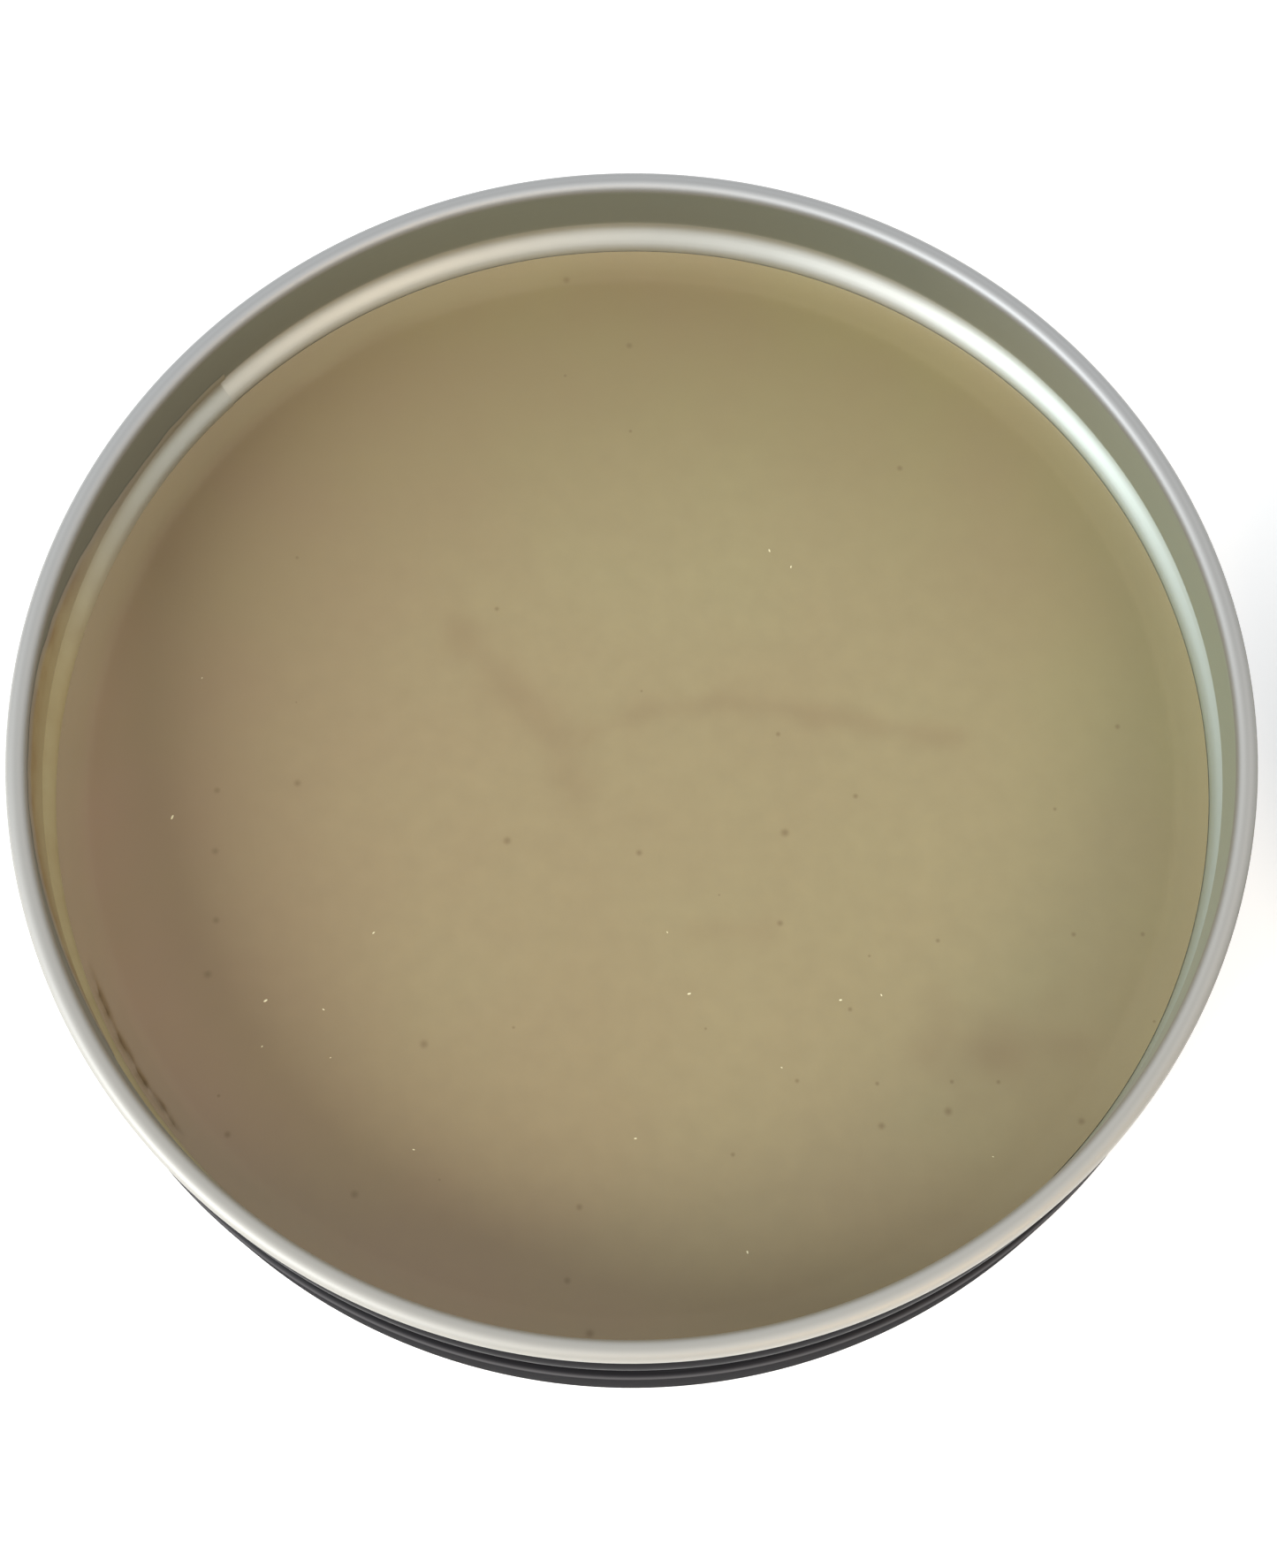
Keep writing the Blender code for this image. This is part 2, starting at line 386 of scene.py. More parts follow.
def blackLacquer(name, centreX, dullBelow, shine):
    # roller-coated black lacquer, stoved on the sheet before it was drawn: a soft deep gloss,
    # rubbed dull below the shoulder where the tin is handled, with a painted grey highlight along the
    # shoulder's edge
    look = lacquerLook
    material, tree, shader = newMaterial(name, 0.0, look["roughness"][0])
    lines = drawLines(tree, centreX, tinplateLook["lineSpacing"], tinplateLook["lineRepeats"])
    place = addNode(tree, "ShaderNodeTexCoord").outputs["Object"]
    peel = addNode(
        tree, "ShaderNodeTexNoise",
        {"Vector": place, "Scale": 1 / look["peelSize"], "Detail": 2.0},
    ).outputs["Fac"]
    rubbed = addNode(
        tree, "ShaderNodeMapRange",
        {"Value": lines, "From Min": look["wornFrom"], "From Max": look["wornTo"]},
    )
    colour = addNode(
        tree, "ShaderNodeMix",
        {0: rubbed.outputs[0], 6: hexToLinear(look["black"]), 7: hexToLinear(look["worn"])},
        data_type="RGBA",
    )
    height = addNode(tree, "ShaderNodeSeparateXYZ", {0: place}).outputs["Z"]
    fromEdge = addNode(tree, "ShaderNodeMath", {0: height, 1: dullBelow}, operation="SUBTRACT")
    nearEdge = addNode(tree, "ShaderNodeMath", {0: fromEdge.outputs[0]}, operation="ABSOLUTE")
    # painted highlight: a grey band along the shoulder's edge
    edge = addNode(
        tree, "ShaderNodeMapRange",
        {"Value": nearEdge.outputs[0], "From Max": look["edgeWidth"],
         "To Min": look["edgeStrength"], "To Max": 0.0},
        interpolation_type="SMOOTHSTEP",
    )
    edged = addNode(
        tree, "ShaderNodeMix",
        {0: edge.outputs[0], 6: colour.outputs[2], 7: hexToLinear(look["edgeHighlight"])},
        data_type="RGBA",
    )
    low, high = look["roughness"]
    glossy = addNode(tree, "ShaderNodeMapRange", {"Value": peel, "To Min": low, "To Max": high})
    dull = addNode(
        tree, "ShaderNodeMapRange",
        {"Value": height, "From Min": dullBelow - look["dullFade"], "From Max": dullBelow + look["dullFade"],
         "To Min": look["dullRoughness"], "To Max": 0.0},
    )
    rough = addNode(tree, "ShaderNodeMath", {0: glossy.outputs[0], 1: dull.outputs[0]}, operation="MAXIMUM")
    bump = addNode(
        tree, "ShaderNodeBump",
        {"Strength": look["bump"], "Distance": look["bumpDepth"], "Height": peel},
    )
    tree.links.new(edged.outputs[2], shader.inputs["Base Color"])
    tree.links.new(rough.outputs[0], shader.inputs["Roughness"])
    tree.links.new(bump.outputs[0], shader.inputs["Normal"])
    shader.inputs["Specular IOR Level"].default_value = shine
    return material


waxLook = {
    "green": "#978c67",
    "brown": "#938160",
    # painted shade: darker wax colours near the wall
    "rimShadeBrown": "#836b52",
    # painted light: a lighter brown close against the tin
    "wallLitBrown": "#998067",
    "rimShadeGreen": "#867a53",
    "streak": "#836f50",
    "lip": "#9f9270",
    "greenerSide": (0.74, 0.67, 0.0),  # the direction of the side painted greener, for coloured light
    "drift": 0.45,
    "driftReach": 40 * mm,
    "litCentre": (-4.0 * mm, 6.5 * mm, 0),
    "rimShadeFrom": 16 * mm,
    "rimShadeTo": 46 * mm,
    "rimShadeMost": 1.05,
    "wallFrom": 31 * mm,
    "wallTo": 38 * mm,
    "wallLight": (-14 * mm, -24 * mm),
    "spot": "#6f5a3c",
    "spotCell": 4.8 * mm,
    "spotSizes": (0.02, 0.095),  # as shares of a cell
    "spotStrength": 0.6,
    "spotShares": (0.08, 0.42),  # of the cells, on the far side and on the near side
    "spotReach": (15 * mm, -25 * mm),
    "clouds": 18 * mm,
    "mottle": 1.6 * mm,
    "mottleDepth": 0.07,
    "grain": 0.28 * mm,
    "bump": 0.12,
    "bumpDepth": 0.03 * mm,
    "roughness": 0.42,
    "roughSpread": 0.06,
    "glow": 0.2,
    "glowReach": 1.2 * mm,
    "glowColour": (1.0, 0.8, 0.45),
    "ior": 1.44,
}


def darkSpots(tree, place):
    # dye that stayed undissolved: soft dark spots, more of them on the near side
    look = waxLook
    cells = addNode(
        tree, "ShaderNodeTexVoronoi",
        {"Vector": place, "Scale": 1 / look["spotCell"]},
        voronoi_dimensions="2D",
    )
    chance = addNode(tree, "ShaderNodeSeparateColor", {0: cells.outputs["Color"]})
    smallest, largest = look["spotSizes"]
    spotSize = addNode(
        tree, "ShaderNodeMapRange",
        {"Value": chance.outputs[1], "To Min": smallest, "To Max": largest},
    )
    fade = addNode(
        tree, "ShaderNodeMapRange",
        {"Value": cells.outputs["Distance"], "From Min": spotSize.outputs[0], "From Max": 0.0,
         "To Max": look["spotStrength"]},
        interpolation_type="SMOOTHSTEP",
    )
    across = addNode(tree, "ShaderNodeSeparateXYZ", {0: place})
    farReach, nearReach = look["spotReach"]
    farShare, nearShare = look["spotShares"]
    nearer = addNode(
        tree, "ShaderNodeMapRange",
        {"Value": across.outputs["Y"], "From Min": farReach, "From Max": nearReach,
         "To Min": farShare, "To Max": nearShare},
    )
    chosen = addNode(
        tree, "ShaderNodeMath",
        {0: chance.outputs[0], 1: nearer.outputs[0]},
        operation="LESS_THAN",
    )
    spots = addNode(tree, "ShaderNodeMath", {0: fade.outputs[0], 1: chosen.outputs[0]}, operation="MULTIPLY")
    return spots.outputs[0]


def castWax(name):
    # turpentine and carnauba wax, poured hot and cooled in the tin: satin, a little see-through
    look = waxLook
    material, tree, shader = newMaterial(name, 0.0, look["roughness"])
    place = addNode(tree, "ShaderNodeTexCoord").outputs["Object"]
    streaksAndCrackShade = addNode(tree, "ShaderNodeAttribute", attribute_name="streak").outputs["Fac"]
    lip = addNode(tree, "ShaderNodeAttribute", attribute_name="lip").outputs["Fac"]
    clouds, mottle, grain = [
        addNode(tree, "ShaderNodeTexNoise", {"Vector": place, "Scale": 1 / look[size], "Detail": detail})
        for size, detail in (("clouds", 3.0), ("mottle", 4.0), ("grain", 3.0))
    ]
    # painted reflection: greener towards greenerSide and browner opposite, for coloured light; the clouds are
    # the wax's own uneven tone
    towards = addNode(
        tree, "ShaderNodeVectorMath",
        {0: place, 1: look["greenerSide"]},
        operation="DOT_PRODUCT",
    )
    drift = addNode(
        tree, "ShaderNodeMapRange",
        {"Value": towards.outputs["Value"], "From Min": -look["driftReach"], "From Max": look["driftReach"],
         "To Min": -look["drift"], "To Max": look["drift"]},
    )
    share = addNode(tree, "ShaderNodeMath", {0: clouds.outputs["Fac"], 1: drift.outputs[0]}, operation="ADD")
    share.use_clamp = True
    body = addNode(
        tree, "ShaderNodeMix",
        {0: share.outputs[0], 6: hexToLinear(look["brown"]), 7: hexToLinear(look["green"])},
        data_type="RGBA",
    )
    fine = addNode(
        tree, "ShaderNodeMapRange",
        {"Value": mottle.outputs["Fac"],
         "To Min": 1 - look["mottleDepth"], "To Max": 1 + look["mottleDepth"]},
    )
    speckled = addNode(
        tree, "ShaderNodeMix",
        {0: 1.0, 6: body.outputs[2], 7: fine.outputs[0]},
        data_type="RGBA", blend_type="MULTIPLY",
    )
    # painted shade: darker and browner towards the wall, away from litCentre, for the shade the wall throws
    flat = addNode(
        tree, "ShaderNodeMapping",
        {"Vector": place, "Location": look["litCentre"], "Scale": (1, 1, 0)},
    )
    fromLitCentre = addNode(tree, "ShaderNodeVectorMath", {0: flat.outputs[0]}, operation="LENGTH")
    rimShadeShare = addNode(
        tree, "ShaderNodeMapRange",
        {"Value": fromLitCentre.outputs["Value"], "From Min": look["rimShadeFrom"], "From Max": look["rimShadeTo"],
         "To Max": look["rimShadeMost"]},
        interpolation_type="SMOOTHSTEP",
    )
    # painted light: a lighter brown close against the tin on the side away from greenerSide, offsetting the
    # shade there
    litFrom, litTo = look["wallLight"]
    wallLight = addNode(
        tree, "ShaderNodeMapRange",
        {"Value": towards.outputs["Value"], "From Min": litFrom, "From Max": litTo},
    )
    level = addNode(tree, "ShaderNodeMapping", {"Vector": place, "Scale": (1, 1, 0)})
    fromCentre = addNode(tree, "ShaderNodeVectorMath", {0: level.outputs[0]}, operation="LENGTH")
    nearWall = addNode(
        tree, "ShaderNodeMapRange",
        {"Value": fromCentre.outputs["Value"], "From Min": look["wallFrom"], "From Max": look["wallTo"],
         "To Max": wallLight.outputs[0]},
        interpolation_type="SMOOTHSTEP",
    )
    edgeBrown = addNode(
        tree, "ShaderNodeMix",
        {0: nearWall.outputs[0], 6: hexToLinear(look["rimShadeBrown"]), 7: hexToLinear(look["wallLitBrown"])},
        data_type="RGBA",
    )
    rim = addNode(
        tree, "ShaderNodeMix",
        {0: share.outputs[0], 6: edgeBrown.outputs[2], 7: hexToLinear(look["rimShadeGreen"])},
        data_type="RGBA",
    )
    tone = speckled.outputs[2]
    for amount, over in (
        (rimShadeShare.outputs[0], rim.outputs[2]),
        (lip, hexToLinear(look["lip"])),
        # darker along the streaks, and painted shade in the crack
        (streaksAndCrackShade, hexToLinear(look["streak"])),
        (darkSpots(tree, place), hexToLinear(look["spot"])),
    ):
        tone = addNode(tree, "ShaderNodeMix", {0: amount, 6: tone, 7: over}, data_type="RGBA").outputs[2]
    rough = addNode(
        tree, "ShaderNodeMapRange",
        {"Value": mottle.outputs["Fac"], "To Min": look["roughness"] - look["roughSpread"],
         "To Max": look["roughness"] + look["roughSpread"]},
    )
    bump = addNode(
        tree, "ShaderNodeBump",
        {"Strength": look["bump"], "Distance": look["bumpDepth"], "Height": grain.outputs["Fac"]},
    )
    tree.links.new(tone, shader.inputs["Base Color"])
    tree.links.new(rough.outputs[0], shader.inputs["Roughness"])
    tree.links.new(bump.outputs[0], shader.inputs["Normal"])
    shader.inputs["Subsurface Weight"].default_value = look["glow"]
    shader.inputs["Subsurface Radius"].default_value = look["glowColour"]
    shader.inputs["Subsurface Scale"].default_value = look["glowReach"]
    shader.inputs["IOR"].default_value = look["ior"]
    return material


skinLook = {
    "thin": "#b5aa82",
    "thick": "#8f754b",
    "patches": 2.5 * mm,
    "leastMetal": 0.15,
    "roughness": 0.4,
    "bump": 0.2,
    "bumpDepth": 0.05 * mm,
}


def waxSkin(name):
    # a skin of wax a few hundredths thick on bright tinplate: the metal's shine comes through it
    look = skinLook
    material, tree, shader = newMaterial(name, look["leastMetal"], look["roughness"])
    place = addNode(tree, "ShaderNodeTexCoord").outputs["Object"]
    cover = addNode(tree, "ShaderNodeAttribute", attribute_name="cover").outputs["Fac"]
    thick = addNode(tree, "ShaderNodeAttribute", attribute_name="thick").outputs["Fac"]
    shine = addNode(tree, "ShaderNodeMapRange", {"Value": cover, "To Min": 1.0, "To Max": look["leastMetal"]})
    uneven = addNode(
        tree, "ShaderNodeTexNoise",
        {"Vector": place, "Scale": 1 / look["patches"], "Detail": 3.0},
    ).outputs["Fac"]
    mixed = addNode(tree, "ShaderNodeMath", {0: uneven, 1: thick}, operation="MULTIPLY")
    colour = addNode(
        tree, "ShaderNodeMix",
        {0: mixed.outputs[0], 6: hexToLinear(look["thin"]), 7: hexToLinear(look["thick"])},
        data_type="RGBA",
    )
    thinned = addNode(
        tree, "ShaderNodeMix",
        {0: cover, 6: hexToLinear(tinplateLook["dark"]), 7: colour.outputs[2]},
        data_type="RGBA",
    )
    bump = addNode(
        tree, "ShaderNodeBump",
        {"Strength": look["bump"], "Distance": look["bumpDepth"], "Height": uneven},
    )
    tree.links.new(thinned.outputs[2], shader.inputs["Base Color"])
    tree.links.new(shine.outputs[0], shader.inputs["Metallic"])
    tree.links.new(bump.outputs[0], shader.inputs["Normal"])
    return material


# turned sheet metal: a chain of points swept round a circle

def sweepTree():
    tree = newTree("sweepRound", {
        "Sweep Radius": ("NodeSocketFloat", 40 * mm),
        "Facets": ("NodeSocketInt", 256),
        "Left Face": ("NodeSocketMaterial", None),
        "Right Face": ("NodeSocketMaterial", None),
    })
    given = addNode(tree, "NodeGroupInput").outputs
    chain = addNode(tree, "GeometryNodeMeshToCurve", {"Mesh": given["Geometry"]})
    circle = addNode(
        tree, "GeometryNodeCurvePrimitiveCircle",
        {"Resolution": given["Facets"], "Radius": given["Sweep Radius"]},
    )
    swept = addNode(
        tree, "GeometryNodeCurveToMesh",
        {"Curve": circle.outputs["Curve"], "Profile Curve": chain.outputs["Curve"]},
    )
    # both ends of the chain stand on the axis, where all their copies become one point
    closed = addNode(
        tree, "GeometryNodeMergeByDistance",
        {"Geometry": swept.outputs["Mesh"], "Distance": 0.001 * mm},
    )
    side = addNode(tree, "GeometryNodeInputNamedAttribute", {"Name": "side"}, data_type="FLOAT")
    isLeft = addNode(
        tree, "FunctionNodeCompare",
        {0: side.outputs["Attribute"], 1: 0.5},
        data_type="FLOAT", operation="GREATER_THAN",
    )
    real = addNode(tree, "GeometryNodeRealizeInstances", {"Geometry": closed.outputs["Geometry"]})
    rightDone = addNode(
        tree, "GeometryNodeSetMaterial",
        {"Geometry": real.outputs["Geometry"], "Material": given["Right Face"]},
    )
    bothDone = addNode(
        tree, "GeometryNodeSetMaterial",
        {"Geometry": rightDone.outputs["Geometry"], "Selection": isLeft.outputs["Result"],
         "Material": given["Left Face"]},
    )
    addNode(tree, "NodeGroupOutput", {"Geometry": bothDone.outputs["Geometry"]})
    return tree


roundSweep = sweepTree()


def turnSheet(name, path, thickness, facets, leftFace, rightFace):
    chain = sheetLoop(path, thickness)
    sweepRadius = 40 * mm
    mesh = bpy.data.meshes.new(name)
    # the sweep lays the chain's X along the radius and its Y downwards
    points = [(p.x - sweepRadius, -p.y, 0) for p, _ in chain]
    mesh.from_pydata(points, [(i, i + 1) for i in range(len(points) - 1)], [])
    side = mesh.attributes.new("side", "FLOAT", "POINT")
    side.data.foreach_set("value", [s for _, s in chain])
    obj = linked(name, mesh)
    return useTree(obj, roundSweep, {
        "Sweep Radius": sweepRadius,
        "Facets": facets,
        "Left Face": leftFace,
        "Right Face": rightFace,
    })


# the base

can = {
    "sheet": 0.3 * mm,
    "rimHeight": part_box("base_can")[1][2],
    "curlRadius": 41.0 * mm,
    "curlWidth": 1.4 * mm,
    "curlHeight": 1.4 * mm,
    "curlSquareness": 2.5,  # 2 is an oval, more is flatter on top
    "curlTurnDeg": 285,
    "neckInside": 39.6 * mm,
    "beadHeight": 11.0 * mm,
    "beadWidth": 4.4 * mm,
    "beadRise": 1.05 * mm,
    "neckRoot": 8.7 * mm,
    "shoulderTurn": 0.4 * mm,
    "shoulderDeg": 84,
    "bodyOutside": 41.3 * mm,
    "cornerRadius": 0.7 * mm,
    "stiffenerRadius": 31.0 * mm,
    "stiffenerWidth": 4.0 * mm,
    "stiffenerRise": 0.6 * mm,
    "dullBelow": 7.6 * mm,
    "lacquerShine": 0.06,
    "facets": 288,
}

canSteps = {"stiffener": 14, "corner": 12, "shoulder": 8, "root": 10, "bead": 18, "curl": 40}


def basePath():
    half = can["sheet"] / 2
    body = can["bodyOutside"] - half
    neck = can["neckInside"] + half
    corner = can["cornerRadius"] - half
    steps = canSteps
    path = [(0, half), (can["stiffenerRadius"] / 2, half)]
    stiffener = swell(can["stiffenerRadius"], can["stiffenerWidth"], can["stiffenerRise"], steps["stiffener"])
    for radius, rise in stiffener:
        path.append((radius, half + rise))
    path += arc((body - corner, half + corner), corner, -90, 0, steps["corner"])
    # the shoulder turns in, then up into the neck, about two centres one above the other
    turn = can["shoulderTurn"]
    root = body - neck - turn
    endDeg = can["shoulderDeg"]
    path.append((body, can["neckRoot"] / 2))
    path += arc((body - turn, can["neckRoot"] - root - turn), turn, 0, endDeg, steps["shoulder"])
    path += arc((body - turn, can["neckRoot"]), root, endDeg - 180, -180, steps["root"])
    for height, rise in swell(can["beadHeight"], can["beadWidth"], can["beadRise"], steps["bead"]):
        path.append((neck + rise, height))
    return path + curlPath(half)


def curlPath(half):
    # the rim is rolled outwards, then pressed a little flat on top
    across = can["curlWidth"] / 2 - half
    up = can["curlHeight"] / 2 - half
    power = 2 / can["curlSquareness"]
    centre = (can["curlRadius"] - can["curlWidth"] / 2, can["rimHeight"] - can["curlHeight"] / 2)
    points = []
    for x, y in arc((0, 0), 1.0, 180, 180 - can["curlTurnDeg"], canSteps["curl"]):
        r = centre[0] + math.copysign(abs(x) ** power, x) * across
        z = centre[1] + math.copysign(abs(y) ** power, y) * up
        points.append((r, z))
    return points


def makeBase():
    obj = turnSheet(
        "tin_base", basePath(), can["sheet"], can["facets"],
        drawnTinplate("bright_drawn_tinplate", 0),
        blackLacquer("black_stoved_lacquer", 0, can["dullBelow"], can["lacquerShine"]),
    )
    outward(obj.data)
    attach(obj, "base")
    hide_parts("base_can")
    print("base made")


# the wax

wax = {
    "top": 8.25 * mm,
    "edge": 39.57 * mm,
    "metalGap": 0.03 * mm,  # between the buried wax and the tin
    "lipRise": 0.62 * mm,
    "lipReach": 1.0 * mm,
    "lipWidth": 1.9 * mm,
    "lipPaleness": 0.5,
    "lipLeast": 0.3,  # share of that paleness away from the side it climbed
    "lipSideDeg": 150,
    "lipSpreadDeg": 45,
    "lipFade": (0.5 * mm, 0.8 * mm),  # inwards and outwards of its edge
    "lipWander": 0.25 * mm,
    "lipWanderLength": 5 * mm,
    "shelfRise": 0.06 * mm,
    "shelfFade": (0.4 * mm, 0.3 * mm),
    "dish": 0.12 * mm,
    "rollRise": 0.05 * mm,
    "rollLength": 9 * mm,
    "rippleRise": 0.012 * mm,
    "rippleLength": 2.2 * mm,
    "streakSink": 0.08 * mm,
    "ringCrowding": 1.55,
    "flankDeg": 86,
    "rings": 96,
    "facets": 360,
}

flankSteps = {"root": 6, "shoulder": 4, "corner": 5, "stiffener": 6}

# where the pour met and set: chains of points on the cake's top, in mm from the tin's middle
streaks = [
    {"line": [(-12.0, 10.1), (-9.5, 6.8), (-6.4, 3.2), (-4.5, 0.9), (-3.8, -1.6)],
     "width": 1.5, "depth": 0.34},
    {"line": [(-4.5, 0.9), (-2.5, 2.6), (1.0, 4.1), (6.5, 4.7), (11.4, 4.1), (16.2, 3.0), (22.3, 1.9)],
     "width": 0.9, "depth": 0.3},
    {"line": [(4.4, -11.7), (8.6, -11.8)], "width": 0.9, "depth": 0.2},
    {"line": [(21.0, -19.2), (24.0, -20.6), (27.5, -19.6)], "width": 2.1, "depth": 0.45},
]

streakWobble = {"perMm": 0.35, "width": 0.7, "depth": 0.5}

shrinkGap = {
    "fromDeg": 200,
    "toDeg": 221,
    "fadeDeg": 3,
    "breaksPerDeg": 0.9,
    "breakFrom": -0.25,
    "breakTo": 0.15,
    "inset": 0.4 * mm,
    "wander": 0.2 * mm,
    "wanderPerDeg": 0.5,
    "width": 0.16 * mm,
    "depth": 0.3 * mm,
    # painted shade: how dark the crack is painted
    "darkness": 0.8,
}


def segmentDistance(point, start, end):
    along = end - start
    share = min(max((point - start).dot(along) / along.length_squared, 0.0), 1.0)
    return (point - start - along * share).length


def streakAt(x, y):
    point = Vector((x / mm, y / mm))
    perMm = streakWobble["perMm"]
    wobble = noise.noise(Vector((x / mm * perMm, y / mm * perMm, 3.0)))
    total = 0.0
    for streak in streaks:
        line = [Vector(p) for p in streak["line"]]
        gap = min(segmentDistance(point, a, b) for a, b in zip(line, line[1:]))
        width = streak["width"] * (1 + streakWobble["width"] * wobble)
        depth = streak["depth"] * math.exp(-(gap / width) ** 2) * (1 + streakWobble["depth"] * wobble)
        total = max(total, depth)
    return total


def gapAt(radius, angleDeg):
    # the crack where the cooling cake let go of the skin on the wall, broken into short lengths
    start, end, fade = shrinkGap["fromDeg"], shrinkGap["toDeg"], shrinkGap["fadeDeg"]
    inRange = smooth(angleDeg, start, start + fade) * (1 - smooth(angleDeg, end - fade, end))
    if inRange == 0:
        return 0.0
    patchy = noise.noise(Vector((angleDeg * shrinkGap["breaksPerDeg"], 0.0, 7.0)))
    broken = smooth(patchy, shrinkGap["breakFrom"], shrinkGap["breakTo"])
    wander = shrinkGap["wander"] * noise.noise(Vector((angleDeg * shrinkGap["wanderPerDeg"], 4.0, 0.0)))
    centre = wax["edge"] - shrinkGap["inset"] - wander
    across = math.exp(-((radius - centre) / shrinkGap["width"]) ** 2)
    return inRange * broken * across


def waxHeight(x, y, radius, angleDeg):
    share = radius / wax["edge"]
    lip = wax["lipRise"] * math.exp(-(wax["edge"] - radius) / wax["lipReach"])
    # the lip sets as a faint shelf with its own inner edge
    shelfStart = wax["edge"] - wax["lipWidth"]
    inwards, outwards = wax["shelfFade"]
    shelf = wax["shelfRise"] * smooth(radius, shelfStart - inwards, shelfStart + outwards)
    roll = wax["rollRise"] * noise.noise(Vector((x, y, 0.0)) / wax["rollLength"])
    ripple = wax["rippleRise"] * noise.noise(Vector((x, y, 5 * mm)) / wax["rippleLength"])
    sunk = wax["dish"] * (1 - share * share)
    height = wax["top"] - sunk * 0.5 + lip + shelf + roll + ripple
    return height - wax["streakSink"] * streakAt(x, y) - shrinkGap["depth"] * gapAt(radius, angleDeg)


def lipAt(x, y, radius, angleDeg):
    # how pale the thin wax of the lip is: palest on the side where it climbed highest
    wander = wax["lipWander"] * noise.noise(Vector((x, y, 0)) / wax["lipWanderLength"])
    start = wax["edge"] - wax["lipWidth"] + wander
    climbed = math.exp(-((angleDeg - wax["lipSideDeg"]) / wax["lipSpreadDeg"]) ** 2)
    most = wax["lipLeast"] + (1 - wax["lipLeast"]) * climbed
    inwards, outwards = wax["lipFade"]
    return wax["lipPaleness"] * most * smooth(radius, start - inwards, start + outwards)


def waxRadii():
    # rings lie closer together towards the wall, where the lip is
    radii = []
    for i in range(1, wax["rings"] + 1):
        share = i / wax["rings"]
        radii.append(wax["edge"] * (1 - (1 - share) ** wax["ringCrowding"]))
    return radii


def waxFlank():
    # the cake's buried side and underside, a hair inside the metal: (radius, height) downwards
    skin = can["sheet"] + wax["metalGap"]
    side = can["bodyOutside"] - skin
    corner = can["cornerRadius"] - skin
    inset = skin - can["sheet"] / 2
    turn = can["shoulderTurn"]
    centre = can["bodyOutside"] - can["sheet"] / 2 - turn
    root = can["bodyOutside"] - can["sheet"] - can["neckInside"] - turn
    bend = wax["flankDeg"]
    steps = flankSteps
    flank = arc((centre, can["neckRoot"]), root + inset, -180, bend - 180, steps["root"])
    flank += arc((centre, can["neckRoot"] - root - turn), turn - inset, bend, 0, steps["shoulder"])
    flank += arc((side - corner, skin + corner), corner, 0, -90, steps["corner"])
    stiffener = swell(can["stiffenerRadius"], can["stiffenerWidth"], can["stiffenerRise"], steps["stiffener"])
    for radius, rise in reversed(stiffener):
        flank.append((radius, skin + rise))
    return flank


def makeWax():
    shell = bmesh.new()
    streakLayer = shell.verts.layers.float.new("streak")
    lipLayer = shell.verts.layers.float.new("lip")
    count = wax["facets"]

    def ringOf(radius, heightAt):
        ring = []
        for i in range(count):
            angle = 2 * math.pi * i / count
            angleDeg = math.degrees(angle)
            x = radius * math.cos(angle)
            y = radius * math.sin(angle)
            vert = shell.verts.new((x, y, heightAt(x, y, radius, angleDeg)))
            # darker along the streaks, and painted shade in the crack
            vert[streakLayer] = streakAt(x, y) + shrinkGap["darkness"] * gapAt(radius, angleDeg)
            vert[lipLayer] = lipAt(x, y, radius, angleDeg)
            ring.append(vert)
        return ring

    rings = [ringOf(radius, waxHeight) for radius in waxRadii()]
    for radius, height in waxFlank():
        rings.append(ringOf(radius, lambda x, y, r, a, h=height: h))
    top = shell.verts.new((0, 0, waxHeight(0, 0, 0, 0)))
    bottom = shell.verts.new((0, 0, can["sheet"] + wax["metalGap"]))
    for i in range(count):
        j = (i + 1) % count
        shell.faces.new((top, rings[0][i], rings[0][j]))
        shell.faces.new((bottom, rings[-1][j], rings[-1][i]))
        for inner, outer in zip(rings, rings[1:]):
            shell.faces.new((inner[i], outer[i], outer[j], inner[j]))
    obj = finished("wax_cake", shell, castWax("cast_wax"))
    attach(obj, "base")
    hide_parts("polish")
    print("wax made")
    return obj


# the skin of wax that the tilted pour left up one side of the neck

smear = {
    "fromDeg": 136,
    "toDeg": 240,
    "fadeIn": 38,
    "fadeOut": 20,
    "endDeg": 2,  # bare at each end
    "startClimb": 0.6,  # share of its full height at the start
    "climbFrom": 10,  # degrees after the start where it climbs on
    "climbFull": 42,  # degrees after the start where it stands full height
    "climbDrop": 54,  # degrees before the end where it starts to sink
    "low": 8.6 * mm,
    "high": 16.95 * mm,
    "least": 0.05 * mm,
    "ragged": 0.25 * mm,
    "raggedPerDeg": 0.35,
    "gap": 0.015 * mm,
    "thinnest": 0.02 * mm,
    "thickness": 0.07 * mm,
    "taperFrom": 0.93,  # shares of its height
    "darkFrom": 0.6,
    "darkTo": 0.98,
    "darkness": (0.5, 1.1),  # below, and what the drained edge adds
    "paleFrom": 0.88,
    "paleness": 0.6,
    "rows": 40,
    "columns": 260,
}


def neckInsideAt(height):
    share = (height - can["beadHeight"]) / can["beadWidth"] + 0.5
    if not 0 < share < 1:
        return can["neckInside"]
    return can["neckInside"] + can["beadRise"] * 0.5 * (1 - math.cos(2 * math.pi * share))


def smearTop(angleDeg):
    # how high the skin climbs: a quick start at the far end, a slow fade at the near one
    start, end = smear["fromDeg"], smear["toDeg"]
    least = smear["startClimb"]
    climb = least + (1 - least) * smooth(angleDeg, start + smear["climbFrom"], start + smear["climbFull"])
    climb *= 1 - smooth(angleDeg, end - smear["climbDrop"], end)
    ragged = smear["ragged"] * noise.noise(Vector((angleDeg * smear["raggedPerDeg"], 1.0, 2.0)))
    return smear["low"] + (smear["high"] - smear["low"]) * climb + ragged * climb


